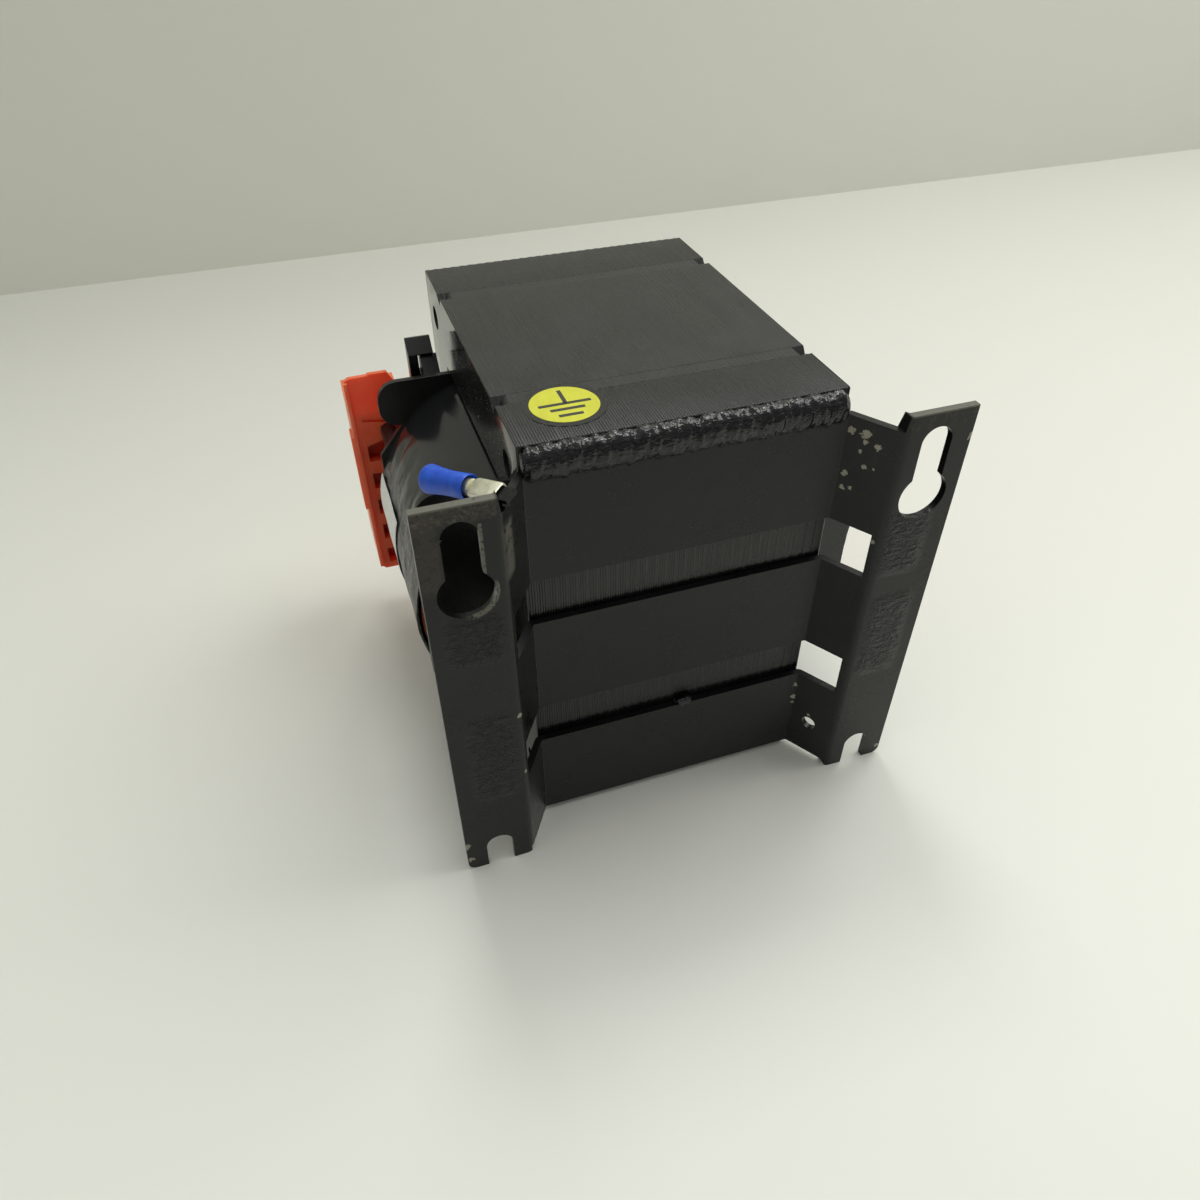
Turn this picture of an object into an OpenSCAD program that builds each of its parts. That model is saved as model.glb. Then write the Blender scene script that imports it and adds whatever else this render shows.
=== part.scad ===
// Laminated chassis transformer: welded core, folded bracket, wound bobbin and two terminal housings.
// Millimetres. X runs across the lamination stack, Y away from the mounting plane, Z up.
// The origin is the middle of the mounting plane, which the two feet rest against.

/* [Core] */
// One sixth of the long side of a lamination
unit = 16; // [10:0.5:24]
// Thickness of the stack along X
stack = 62; // [20:1:120]
// Thickness of one lamination
sheet = 0.5; // [0.35:0.05:0.65]
// Laminations that are turned the same way before the next ones are turned over
turned_together = 2; // [1:1:4]
// How far every other group of laminations stands back
comb_depth = 0.1; // [0.05:0.01:0.3]
// Diameter of the holes in the corners
corner_hole = 5.2; // [3:0.1:8]
// Width of the weld grooves at the surface
groove_width = 3.4; // [1:0.1:6]
// Depth of the weld grooves
groove_depth = 2; // [0.5:0.1:4]
// Bare groove left at each end of a seam
seam_gap = 1.6; // [0:0.1:5]

/* [Bracket] */
// Thickness of the folded sheet
plate = 1.5; // [0.8:0.1:3]
// Distance from the mounting plane to the core
stand_off = 11; // [5:0.5:25]
// Where the feet end
foot_end = 50.7; // [40:0.1:70]
// Where the feet turn into the legs
foot_bend = 36.4; // [32:0.1:60]
// Where the legs turn into the web
web_bend = 30.5; // [20:0.1:45]
// Radius outside the bends
bend_radius = 2; // [1.6:0.1:5]
// Top of the feet
foot_top = 46.6; // [30:0.1:60]
// Top edge of the upper strap
strap_top = 43.4; // [30:0.1:60]
// Height of each of the three straps
strap = 23; // [10:0.1:30]
// Height of the two windows between them
window = 10.4; // [4:0.1:20]
// Where the windows stop, from the mounting plane
window_stop = 1.5; // [1.5:0.1:8]
// Across the mounting slots, centre to centre
slot_spacing = 86.8; // [70:0.1:110]
// Width of the open slots
slot_width = 5.8; // [3:0.1:9]
// Width of the keyhole slots
keyhole_slot = 6.3; // [3:0.1:9]
// Height of the seat of the keyhole slots
keyhole_seat = 40.4; // [20:0.1:45]
// Height of the middle of the keyhole's entry
keyhole_entry = 28.8; // [10:0.1:40]
// Diameter of the keyhole's entry
entry_hole = 10; // [6:0.1:16]
// Depth below the middle of the seat of the open slots
open_seat = 41.8; // [20:0.1:46]
// Diameter of the small hole in the right leg
leg_hole = 3.5; // [2:0.1:6]

/* [Bobbin] */
// Wall of the former's tube
tube_wall = 1.6; // [0.8:0.1:3]
// Thickness of the flanges
flange = 1.4; // [0.8:0.1:3]
// Half the height of the flanges
flange_top = 31.2; // [20:0.1:31.8]
// Reach of the corner ears
ear_reach = 47.6; // [40:0.1:60]
// Lower edge of the corner ears
ear_base = 20.5; // [10:0.1:28]
// Reach of the flanges at mid height
flange_reach = 49; // [40:0.1:60]
// Outer reach of the terminal carriers
carrier_reach = 41; // [34:0.1:50]
// Half the height of the terminal carriers
carrier_half = 17.5; // [15:0.5:18]
// Top of the latch posts
latch_top = 37.7; // [32:0.1:45]

/* [Coil] */
// Share of the coil's depth taken by the primary
primary_share = 0.45; // [0.2:0.01:0.7]
// Share taken up to the outside of the insulation
insulation_share = 0.49; // [0.25:0.01:0.75]
// Share taken up to the outside of the secondary
secondary_share = 0.965; // [0.8:0.005:0.99]
// How far the label stands on the tape, as a share
label_share = 1.008; // [1.002:0.001:1.02]

/* [Terminal housings] */
// Outer face of the housings
housing_face = 53.9; // [45:0.1:70]
// Face of the housings towards the mounting plane
housing_near = 85; // [76:0.5:95]
// Face of the housings away from the mounting plane
housing_far = 103.5; // [95:0.5:115]
// Half the height of the housings
housing_half = 28; // [20:0.1:32]
// Top of the terminal body behind the front panel
body_top = 18.6; // [10:0.1:28]
// Thickness of the panel above it
panel = 1.2; // [0.8:0.1:3]
// Spacing of the poles
pole_pitch = 7.8; // [5:0.1:12]
// Number of poles in each housing
poles = 6; // [2:1:6]
// Depth of the ribbed pockets
pocket_depth = 3.2; // [1:0.1:3.5]
// Height of the pockets between the ribs
pocket = 4.4; // [2:0.1:6]
// Height of the middle of the pocket nearest the housing's middle
pocket_middle = -0.6; // [-4:0.1:4]
// Height where the closed panel ends, at the outer side
panel_end = 9.3; // [-20:0.1:20]
// Side of the square wire entries
wire_entry = 3.8; // [2:0.1:5]
// Diameter of the screw wells
screw_well = 4.8; // [3:0.1:6]
// Diameter of the lead sleeves
lead_sleeve = 3.8; // [2:0.1:5]

/* [Earth connector] */
// Width of the tab
tab_width = 2.8; // [2.8:0.1:6.3]
// Thickness of the tab
tab_plate = 0.8; // [0.5:0.1:0.8]
// Outer diameter of the insulating sleeve
sleeve_diameter = 4.5; // [4:0.1:8]
// Length of the insulating sleeve
sleeve_length = 10; // [6:0.5:16]

/* [Render] */
// One piece to draw, or all
// Smoothness of round edges
$fn = 32; // [12:4:96]

/* [Hidden] */
half_stack = stack / 2;
tooth = turned_together * sheet;
core_top = 3 * unit;
core_near = stand_off;
core_far = stand_off + 5 * unit;
window_near = core_near + unit;
window_far = core_far - unit;
hole_inset = unit / 2;
web_front = stand_off - plate;
strap_step = strap + window;
inner_radius = bend_radius - plate;
slot_x = slot_spacing / 2;
corner_radius = 2;
foot_notch = 36.4;
notch_slope = 0.5;
bead_swell = 0.35;
bead_lumps = 16;
bead_lap = 0.3;
bead_start = -30.5;
bead_end = 31;
seam_sink = 0.2;
seam_half = groove_width / 2 * (1 - seam_sink / groove_depth);
coil_near = window_near + flange + 0.1;
coil_far = window_far - flange - 0.6;
carrier_near = coil_far + flange - 0.1;
carrier_far = 100;
side_gap = 0.4;
latch_near = 77;
latch_far = 80.5;
latch_in = 33.4;
latch_out = 39;
latch_ramp = 2.9;
latch_leg = 2.1;
latch_slit = 0.5;
brace_in = 32.7;
brace_top = 34.2;
brace_base = 26;
sleeve_x = 45.6;
sleeve_z = 13.2;
pole_x = 47.4;
pole_bottom = -23.4;
coarse = 10;
lip = 0.9;
strip = 0.7;
pocket_side = 2.7;
groove = 0.7;
clamp_near = 89.4;
clamp_far = 95.2;
clamp_half = 2.4;
clamp_length = 6;
screw_head = 4.4;
screw_shank = 2.4;
overrun = 1;
tab_seat = [-34.7, 2.03, 45.18];
tab_turn = 123.5;
tab_dip = 12.7;
tab_roll = -18.3;
receptacle_start = 1.8;
receptacle_end = 8.6;
tab_end = 7;
receptacle_width = 3.8;
receptacle_height = 2;
barrel_radius = 1.55;
flare = 0.35;
flare_length = 2.5;
grip = 0.05;

lacquer = [0.09, 0.09, 0.09];
core_steel = [0.28, 0.28, 0.26];
weld_metal = [0.2, 0.2, 0.19];
black_plastic = [0.06, 0.06, 0.06];
copper = [0.72, 0.42, 0.24];
insulation_paper = [0.82, 0.76, 0.6];
dark_tape = [0.13, 0.13, 0.14];
label_white = [0.92, 0.92, 0.9];
orange = [0.83, 0.38, 0.24];
plated = [0.82, 0.81, 0.74];
blue = [0.1, 0.31, 0.72];

// Rounds a corner of an outline: from a towards p, an arc of the radius, then on towards b.
function rounded(a, p, b, radius, steps = 5) =
    let (u = (a - p) / norm(a - p), v = (b - p) / norm(b - p), half = acos(u * v) / 2,
         middle = p + (u + v) / norm(u + v) * radius / sin(half),
         first = p + u * radius / tan(half) - middle, last = p + v * radius / tan(half) - middle,
         from = atan2(first.y, first.x), turn = (atan2(last.y, last.x) - from + 540) % 360 - 180)
    [for (i = [0:steps]) middle + radius * [cos(from + turn * i / steps), sin(from + turn * i / steps)]];

function flipped(points) = [for (i = [len(points) - 1:-1:0]) [-points[i].x, points[i].y]];
function lowered(points) = [for (i = [len(points) - 1:-1:0]) [points[i].x, -points[i].y]];

// An outline in X and Z drawn out along Y from near to far.
module along_y(near, far) translate([0, far, 0]) rotate([90, 0, 0]) linear_extrude(far - near) children();
// An outline in Y and Z drawn out along X from start to end.
module along_x(start, end) translate([start, 0, 0]) rotate([90, 0, 90]) linear_extrude(end - start) children();
module box(low, high) translate(low) cube(high - low);
module hole_y(x, z, diameter, near, far, sides = $fn)
    translate([x, far, z]) rotate([90, 0, 0]) cylinder(d = diameter, h = far - near, $fn = sides);
module mirrored(right) mirror([right ? 1 : 0, 0, 0]) children();

// Every other group of laminations stands back, so an outline across the stack has teeth at top and bottom.
comb_edge = [for (i = [0:stack / (2 * tooth) - 1]) let (x = 2 * tooth * i - half_stack)
    each [[x, core_top], [x + tooth, core_top], [x + tooth, core_top - comb_depth],
          [x + 2 * tooth, core_top - comb_depth]]];

module lamination_block(near, far) {
    difference() {
        along_y(near, far) polygon(concat(comb_edge, lowered(comb_edge)));
        for (y = [core_near + hole_inset, core_far - hole_inset], z = [-1, 1])
            translate([-half_stack - overrun, y, z * (core_top - hole_inset)]) rotate([0, 90, 0])
                cylinder(d = corner_hole, h = stack + 2 * overrun);
        for (y = [window_near, window_far], side = [0, 1]) mirror([0, 0, side]) along_x(-half_stack - overrun,
            half_stack + overrun) polygon([[y - groove_width / 2, core_top], [y, core_top - groove_depth],
            [y + groove_width / 2, core_top], [y + groove_width / 2, core_top + overrun],
            [y - groove_width / 2, core_top + overrun]]);
    }
}

module e_lamination_stack() color(core_steel) difference() {
    lamination_block(core_near, window_far);
    for (side = [-1, 1]) box([-half_stack - overrun, window_near, side * 1.5 * unit - unit / 2],
        [half_stack + overrun, window_far + overrun, side * 1.5 * unit + unit / 2]);
}

module i_lamination_stack() color(core_steel) lamination_block(window_far, core_far);

module core_weld_seams() color(weld_metal)
    for (y = [window_near, window_far], side = [0, 1]) mirror([0, 0, side])
        along_x(-half_stack + seam_gap, half_stack - seam_gap) polygon([
            [y - seam_half, core_top - seam_sink], [y, core_top - groove_depth], [y + seam_half, core_top - seam_sink],
            [y, core_top - seam_sink / 4]]);

// One half of the folded section, first along the face at the mounting plane, then back along the other face.
lean = [web_bend - foot_bend, web_front] / norm([web_bend - foot_bend, web_front]);
back_shift = plate * [lean.y, -lean.x];
back_foot = [foot_bend, 0] + back_shift + lean * (plate - back_shift.y) / lean.y;
back_web = [foot_bend, 0] + back_shift + lean * (stand_off - back_shift.y) / lean.y;
front_face = concat([[foot_end, 0]],
    rounded([foot_end, 0], [foot_bend, 0], [web_bend, web_front], bend_radius),
    rounded([foot_bend, 0], [web_bend, web_front], [0, web_front], inner_radius));
back_face = concat(rounded([0, stand_off], back_web, back_foot, bend_radius),
    rounded(back_web, back_foot, [foot_end, plate], inner_radius), [[foot_end, plate]]);

module mounting_bracket() color(lacquer) difference() {
    translate([0, 0, -core_top]) linear_extrude(core_top + foot_top)
        polygon(concat(front_face, flipped(front_face), flipped(back_face), back_face));
    for (side = [-1, 1]) mirror([side > 0 ? 1 : 0, 0, 0]) {
        hole_y(slot_x, keyhole_entry, entry_hole, -overrun, plate + overrun);
        hole_y(slot_x, keyhole_seat, keyhole_slot, -overrun, plate + overrun);
        box([slot_x - keyhole_slot / 2, -overrun, keyhole_entry],
            [slot_x + keyhole_slot / 2, plate + overrun, keyhole_seat]);
        hole_y(slot_x, -open_seat, slot_width, -overrun, plate + overrun);
        box([slot_x - slot_width / 2, -overrun, -core_top - overrun],
            [slot_x + slot_width / 2, plate + overrun, -open_seat]);
        difference() {
            box([foot_end - corner_radius, -overrun, -core_top - overrun],
                [foot_end + overrun, plate + overrun, -core_top + corner_radius]);
            hole_y(foot_end - corner_radius, corner_radius - core_top, 2 * corner_radius,
                -2 * overrun, plate + 2 * overrun);
        }
    }
    along_y(-overrun, stand_off + overrun) polygon([[-foot_notch, strap_top], [foot_notch, strap_top],
        [foot_notch + notch_slope, foot_top + overrun], [-foot_notch - notch_slope, foot_top + overrun]]);
    box([-foot_bend, -overrun, -core_top - overrun], [foot_bend, stand_off + overrun, strap_top - 3 * strap - 2 * window]);
    for (i = [0, 1]) box([-foot_bend, window_stop, strap_top - strap - window - i * strap_step],
        [foot_bend, stand_off + overrun, strap_top - strap - i * strap_step]);
    translate([33, 5.4, -37]) rotate([0, 90, atan2(-lean.x, lean.y)])
        cylinder(d = leg_hole, h = 4 * plate, center = true);
}

// The weld runs along the core's edge and over the top of the upper strap, in lumps of alternating thickness.
module bracket_weld_bead() color(weld_metal)
    for (i = [0:bead_lumps - 1]) let (pitch = (bead_end - bead_start) / bead_lumps, out = i % 2 * bead_swell)
        along_x(bead_start + i * pitch - bead_lap, bead_start + (i + 1) * pitch) polygon([
            [stand_off, strap_top], [web_front, strap_top], [web_front, strap_top - 1.1 - out],
            [web_front - 0.8, strap_top - 0.9 - out], [web_front - 1.5 - out, strap_top + 0.2],
            [web_front - 1.5 - out, strap_top + 1.8], [web_front - 0.7 - out, strap_top + 3.4],
            [web_front + 0.6, core_top - 0.2], [stand_off, core_top]]);

module bracket_tack_weld() color(weld_metal) let (edge = strap_top - 2 * strap_step)
    along_x(0.5, 4.5) polygon([[stand_off, edge], [stand_off, edge + 1.6], [web_front + 0.4, edge + 1.4],
        [web_front - 0.5, edge + 0.6], [web_front - 0.6, edge - 0.6], [web_front, edge - 1], [web_front, edge]]);

ear = concat(rounded([0, flange_top], [ear_reach, flange_top], [ear_reach, ear_base], 4.6),
    rounded([ear_reach, flange_top], [ear_reach, ear_base], [ear_reach - 8, ear_base], 4),
    [[ear_reach - 4.4, ear_base], [flange_reach, ear_base - 7]]);

module flange_plate(near) along_y(near, near + flange)
    polygon(concat(ear, lowered(ear), [for (p = ear) -p], flipped(ear)));

// A hook on one leg, with a slit beside the leg and a brace that slopes up from the flange.
module latch_post() {
    difference() {
        along_x(-latch_out, -latch_in) polygon([[latch_near, carrier_half - 1], [latch_near, latch_top - latch_ramp],
            [latch_near + latch_ramp, latch_top], [latch_far, latch_top - 0.1], [latch_far, carrier_half - 1]]);
        box([-latch_out + latch_leg, latch_near - overrun, 30],
            [-latch_out + latch_leg + latch_slit, latch_far + overrun, latch_top - latch_ramp - 0.4]);
        box([-latch_out + latch_leg, latch_near - overrun, 30],
            [-latch_in + overrun, latch_near + 1, latch_top - latch_ramp - 0.2]);
    }
    along_x(-latch_out + latch_leg + latch_slit, -brace_in) polygon([[coil_far + flange - 0.2, brace_base],
        [coil_far + flange - 0.2, brace_top - latch_near - 1 + coil_far + flange - 0.2], [latch_near + 1, brace_top],
        [latch_near + 1.2, brace_top], [latch_near + 1.2, brace_base]]);
}

module bobbin() color(black_plastic) {
    difference() {
        union() {
            box([-half_stack - tube_wall, coil_near - flange, -unit - tube_wall],
                [half_stack + tube_wall, coil_far + flange, unit + tube_wall]);
            flange_plate(coil_near - flange);
            flange_plate(coil_far);
        }
        box([-half_stack, coil_near - flange - overrun, -unit], [half_stack, coil_far + flange + overrun, unit]);
    }
    for (right = [false, true]) mirrored(right) {
        box([-carrier_reach, carrier_near, -carrier_half], [-half_stack - side_gap, carrier_far, carrier_half]);
        latch_post();
    }
}

// A quarter of the coil's outside and the same quarter of the tube under it, point for point.
coil_outside = [[50.6, 0], [50.4, 4], [49.6, 8], [48.2, 12], [46.2, 15.8], [43.5, 19.8], [40.2, 23.3],
    [36.5, 26.2], [31, 28.8], [20, 29.5], [8, 29.8]];
tube_x = half_stack + tube_wall;
tube_z = unit + tube_wall;
coil_inside = [[tube_x, 0], [tube_x, 4], [tube_x, 8], [tube_x, 11.5], [tube_x, 14.5], [tube_x, tube_z],
    [tube_x - 2, tube_z], [tube_x - 6, tube_z], [tube_x - 12, tube_z], [20, tube_z], [8, tube_z]];
function layer(share) = let (quarter = [for (i = [0:len(coil_outside) - 1])
        coil_inside[i] + (coil_outside[i] - coil_inside[i]) * share])
    concat(quarter, flipped(quarter), [for (i = [1:len(quarter) - 1]) -quarter[i]],
        [for (i = [len(quarter) - 1:-1:1]) [quarter[i].x, -quarter[i].y]]);

module coil_layer(inside, outside, near = coil_near, far = coil_far) difference() {
    along_y(near, far) polygon(layer(outside));
    if (inside > 0) along_y(near - overrun, far + overrun) polygon(layer(inside));
    else box([-tube_x, near - overrun, -tube_z], [tube_x, far + overrun, tube_z]);
}

module primary_winding() color(copper) coil_layer(0, primary_share);
module interlayer_insulation() color(insulation_paper) coil_layer(primary_share, insulation_share);
module secondary_winding() color(copper) coil_layer(insulation_share, secondary_share);
module outer_tape_wrap() color(dark_tape) coil_layer(secondary_share, 1);
module coil_label() color(label_white) intersection() {
    coil_layer(1, label_share, 52, coil_far);
    box([-60, 50, -25], [-40, coil_far + overrun, 9]);
}

function pole_z(i) = pole_bottom + i * pole_pitch;

panel_outline = [[-carrier_reach, body_top - 1], [-carrier_reach, housing_half - 4.8], [-carrier_reach - 2.7, housing_half],
    [-carrier_reach - 7.1, housing_half], [-carrier_reach - 7.3, housing_half - 0.3], [1.3 - housing_face, housing_half - 0.4],
    [-housing_face, housing_half - 1.2], [-housing_face, body_top - 1]];

module housing_body() {
    along_y(housing_near, housing_near + panel) polygon(panel_outline);
    along_y(housing_near, housing_far) polygon([[-carrier_reach, -housing_half], [-carrier_reach, body_top],
        [-housing_face, body_top], [-housing_face, 1.4 - housing_half], [1.4 - housing_face, -housing_half]]);
    box([-housing_face, housing_near - lip, 1.4 - housing_half], [lip - housing_face, housing_near, housing_half - 1.2]);
    box([-housing_face - strip, housing_near - lip, -7.8], [-housing_face, housing_near + 4, 12.9]);
}

module ribbed_pockets() {
    for (z = [pocket_middle:-pole_pitch:-housing_half + pocket / 2 + 1])
        box([pocket_side - housing_face, housing_near - overrun, z - pocket / 2],
            [-carrier_reach - 1.2, housing_near + pocket_depth, z + pocket / 2]);
    along_y(housing_near - overrun, housing_near + pocket_depth) polygon([
        [pocket_side - housing_face, pocket_middle + pole_pitch - pocket / 2],
        [-carrier_reach - 1.2, pocket_middle + pole_pitch - pocket / 2],
        [-carrier_reach - 1.2, panel_end + 2.8], [pocket_side - housing_face, panel_end]]);
    along_y(housing_near - overrun, housing_near + groove) polygon([[pocket_side - housing_face, 16.1],
        [-carrier_reach - 1.2, 14.6], [-carrier_reach - 1.2, 15.2], [pocket_side - housing_face, 17.1]]);
}

// One pole: the wire entry from the side, the seat of the clamp, and the well of the screw.
module pole_cavity() {
    box([-housing_face - overrun, clamp_near + 1, -wire_entry / 2],
        [-pole_x - clamp_length / 2, clamp_near + 1 + wire_entry, wire_entry / 2]);
    box([-pole_x - clamp_length / 2, clamp_near, -clamp_half], [-pole_x + clamp_length / 2, clamp_far, clamp_half]);
    hole_y(-pole_x, 0, screw_well, clamp_far - overrun / 2, housing_far + overrun, coarse);
}

module terminal_housing() color(orange) difference() {
    housing_body();
    ribbed_pockets();
    for (i = [0:poles - 1]) translate([0, 0, pole_z(i)]) pole_cavity();
}

module terminal_clamps() color(plated) for (i = [0:poles - 1]) translate([0, 0, pole_z(i)]) difference() {
    box([-pole_x - clamp_length / 2, clamp_near, -clamp_half], [-pole_x + clamp_length / 2, clamp_far, clamp_half]);
    box([-pole_x - clamp_length, clamp_near + 1, -wire_entry / 2],
        [-pole_x + clamp_length / 2 - 1, clamp_near + 1 + wire_entry, wire_entry / 2]);
    hole_y(-pole_x, 0, screw_shank + 0.2, clamp_near + 2, clamp_far + overrun, coarse);
}

module terminal_screws() color(plated) for (i = [0:poles - 1]) translate([0, 0, pole_z(i)]) {
    hole_y(-pole_x, 0, screw_head, clamp_far, clamp_far + 2.4, coarse);
    hole_y(-pole_x, 0, screw_shank, clamp_far - 1.6, clamp_far + overrun, coarse);
}

module lead_sleeves() color(black_plastic) for (z = [-sleeve_z, sleeve_z])
    hole_y(-sleeve_x, z, lead_sleeve, coil_far + flange, housing_near, coarse);

module terminal_housing_left() terminal_housing();
module terminal_housing_right() mirrored(true) terminal_housing();
module terminal_clamps_left() terminal_clamps();
module terminal_clamps_right() mirrored(true) terminal_clamps();
module terminal_screws_left() terminal_screws();
module terminal_screws_right() mirrored(true) terminal_screws();
module lead_sleeves_left() lead_sleeves();
module lead_sleeves_right() mirrored(true) lead_sleeves();

// The connector lies aslant over the left leg: its own X runs from the tab to the open end of the sleeve.
module on_tab() translate(tab_seat) rotate([0, 0, tab_turn]) rotate([0, tab_dip, 0]) rotate([tab_roll, 0, 0]) children();

module earth_tab() color(lacquer) {
    on_tab() box([-0.8, -tab_width / 2, -tab_plate / 2], [tab_end, tab_width / 2, tab_plate / 2]);
    box([-35.85, 1.7, strap_top], [-34.6, 2.9, tab_seat.z]);
}

module receptacle_blade() difference() {
    box([receptacle_start, -receptacle_width / 2, -receptacle_height / 2],
        [receptacle_end, receptacle_width / 2, receptacle_height / 2]);
    box([0, -tab_width / 2, -tab_plate / 2], [tab_end, tab_width / 2, tab_plate / 2]);
    box([0, -0.3, 0], [tab_end, 0.3, receptacle_height]);
}

module earth_receptacle() color(plated) on_tab() {
    receptacle_blade();
    translate([receptacle_end - 0.5, 0, 0]) rotate([0, 90, 0]) cylinder(r = barrel_radius, h = 7);
}

module earth_sleeve() color(blue) on_tab() translate([receptacle_end, 0, 0]) rotate([0, 90, 0]) difference() {
    union() {
        cylinder(d = sleeve_diameter, h = sleeve_length);
        translate([0, 0, sleeve_length - flare_length])
            cylinder(d1 = sleeve_diameter, d2 = sleeve_diameter + 2 * flare, h = flare_length);
    }
    translate([0, 0, -overrun]) cylinder(r = barrel_radius - grip, h = sleeve_length + 2 * overrun, $fn = coarse);
}

e_lamination_stack();
i_lamination_stack();
core_weld_seams();
mounting_bracket();
bracket_weld_bead();
bracket_tack_weld();
bobbin();
primary_winding();
interlayer_insulation();
secondary_winding();
outer_tape_wrap();
coil_label();
terminal_housing_left();
terminal_housing_right();
terminal_clamps_left();
terminal_clamps_right();
terminal_screws_left();
terminal_screws_right();
lead_sleeves_left();
lead_sleeves_right();
earth_tab();
earth_receptacle();
earth_sleeve();
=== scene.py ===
import math

import bmesh
import bpy
import numpy as np
from mathutils import Matrix, Vector
from mathutils.geometry import tessellate_polygon


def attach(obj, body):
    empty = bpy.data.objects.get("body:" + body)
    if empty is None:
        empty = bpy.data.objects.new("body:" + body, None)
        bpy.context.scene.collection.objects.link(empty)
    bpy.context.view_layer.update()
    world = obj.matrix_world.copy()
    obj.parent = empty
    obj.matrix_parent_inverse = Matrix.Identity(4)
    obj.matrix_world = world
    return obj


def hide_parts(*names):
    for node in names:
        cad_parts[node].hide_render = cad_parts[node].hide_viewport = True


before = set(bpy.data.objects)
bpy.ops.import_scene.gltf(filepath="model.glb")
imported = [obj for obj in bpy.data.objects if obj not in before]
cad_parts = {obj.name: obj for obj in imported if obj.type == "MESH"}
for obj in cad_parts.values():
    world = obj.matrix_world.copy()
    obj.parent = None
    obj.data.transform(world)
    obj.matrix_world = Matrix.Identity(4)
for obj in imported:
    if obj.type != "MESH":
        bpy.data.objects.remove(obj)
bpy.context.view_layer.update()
scene = bpy.context.scene
mm = 0.001
print("frame loaded,", len(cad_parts), "nodes")


# a shader socket that takes part in ordinary expressions
class Sock:
    def __init__(self, graph, socket):
        self.graph, self.socket = graph, socket

    def maths(self, operation, *values):
        return self.graph.node("ShaderNodeMath", {"operation": operation}, values)

    def __add__(self, other): return self.maths("ADD", self, other)
    def __radd__(self, other): return self.maths("ADD", other, self)
    def __sub__(self, other): return self.maths("SUBTRACT", self, other)
    def __rsub__(self, other): return self.maths("SUBTRACT", other, self)
    def __mul__(self, other): return self.maths("MULTIPLY", self, other)
    def __rmul__(self, other): return self.maths("MULTIPLY", other, self)
    def __truediv__(self, other): return self.maths("DIVIDE", self, other)
    def __abs__(self): return self.maths("ABSOLUTE", self)
    def low(self, other): return self.maths("MINIMUM", self, other)
    def high(self, other): return self.maths("MAXIMUM", self, other)
    def wave(self): return self.maths("SINE", self)

    # 0 at start and 1 at stop with a soft slope between, start may be the higher one
    def step(self, start, stop):
        settings = {"interpolation_type": "SMOOTHSTEP"}
        return self.graph.node("ShaderNodeMapRange", settings, {0: self, 1: start, 2: stop, 3: 0.0, 4: 1.0})


# a node tree and the one method that adds to it
class Graph:
    def __init__(self, tree):
        self.tree = tree

    def node(self, kind, settings=None, values=(), output=0):
        made = self.tree.nodes.new(kind)
        for key, value in (settings or {}).items():
            if key == "stops":
                ramp = made.color_ramp
                while len(ramp.elements) < len(value):
                    ramp.elements.new(0.5)
                for element, (spot, colour) in zip(ramp.elements, value):
                    element.position, element.color = spot, colour
            else:
                setattr(made, key, value)
        for key, value in values.items() if isinstance(values, dict) else enumerate(values):
            if isinstance(value, Sock):
                self.tree.links.new(value.socket, made.inputs[key])
            else:
                made.inputs[key].default_value = value
        return Sock(self, made.outputs[output])


# one material; place is the object's own position in millimetres
class Finish(Graph):
    def __init__(self, name):
        self.material = bpy.data.materials.new(name)
        self.material.use_nodes = True
        super().__init__(self.material.node_tree)
        self.tree.nodes.clear()
        self.end = self.tree.nodes.new("ShaderNodeOutputMaterial")
        where = self.node("ShaderNodeTexCoord", output=3)
        self.place = self.node("ShaderNodeVectorMath", {"operation": "SCALE"}, {0: where, 3: 1 / mm})
        self.x, self.y, self.z = (self.node("ShaderNodeSeparateXYZ", {}, [self.place], output=i) for i in range(3))

    # cloudy noise, size is the width of a cloud in millimetres; stretch squeezes it along each axis
    def noise(self, size, detail=3.0, rough=0.5, stretch=(1, 1, 1)):
        spot = self.node("ShaderNodeVectorMath", {"operation": "MULTIPLY"},
            [self.place, tuple(s / size for s in stretch)])
        return self.node("ShaderNodeTexNoise", {}, {"Vector": spot, "Scale": 1.0, "Detail": detail,
            "Roughness": rough})

    # 1 within inner millimetres of a spot, 0 beyond outer
    def near(self, spot, inner, outer):
        gap = self.node("ShaderNodeVectorMath", {"operation": "DISTANCE"}, [self.place, spot], output=1)
        return gap.step(outer, inner)

    # 1 inside a box with soft sides
    def within(self, lowest, highest, soft=1.0):
        mask = None
        for axis, low, high in zip((self.x, self.y, self.z), lowest, highest):
            if low is None:
                continue
            side = axis.step(low - soft, low + soft) * axis.step(high + soft, high - soft)
            mask = side if mask is None else mask * side
        return mask

    def mix(self, share, first, second):
        return self.node("ShaderNodeMix", {"data_type": "RGBA"}, {0: share, 6: first, 7: second}, output=2)

    # the part's own shader; height is in millimetres
    def shade(self, height=None, lift=1.0, **values):
        inputs = {key.replace("_", " "): value for key, value in values.items()}
        if height is not None:
            inputs["Normal"] = self.node("ShaderNodeBump", {}, {"Strength": lift, "Distance": mm, "Height": height})
        shader = self.node("ShaderNodeBsdfPrincipled", {}, inputs)
        self.tree.links.new(shader.socket, self.end.inputs[0])
        return self.material


# a colour as it looks on a screen, 0 to 255, as the linear numbers that shaders take
def tint(red, green, blue):
    parts = np.array([red, green, blue]) / 255
    return (*np.where(parts < 0.04045, parts / 12.92, ((parts + 0.055) / 1.055) ** 2.4).tolist(), 1.0)


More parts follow.
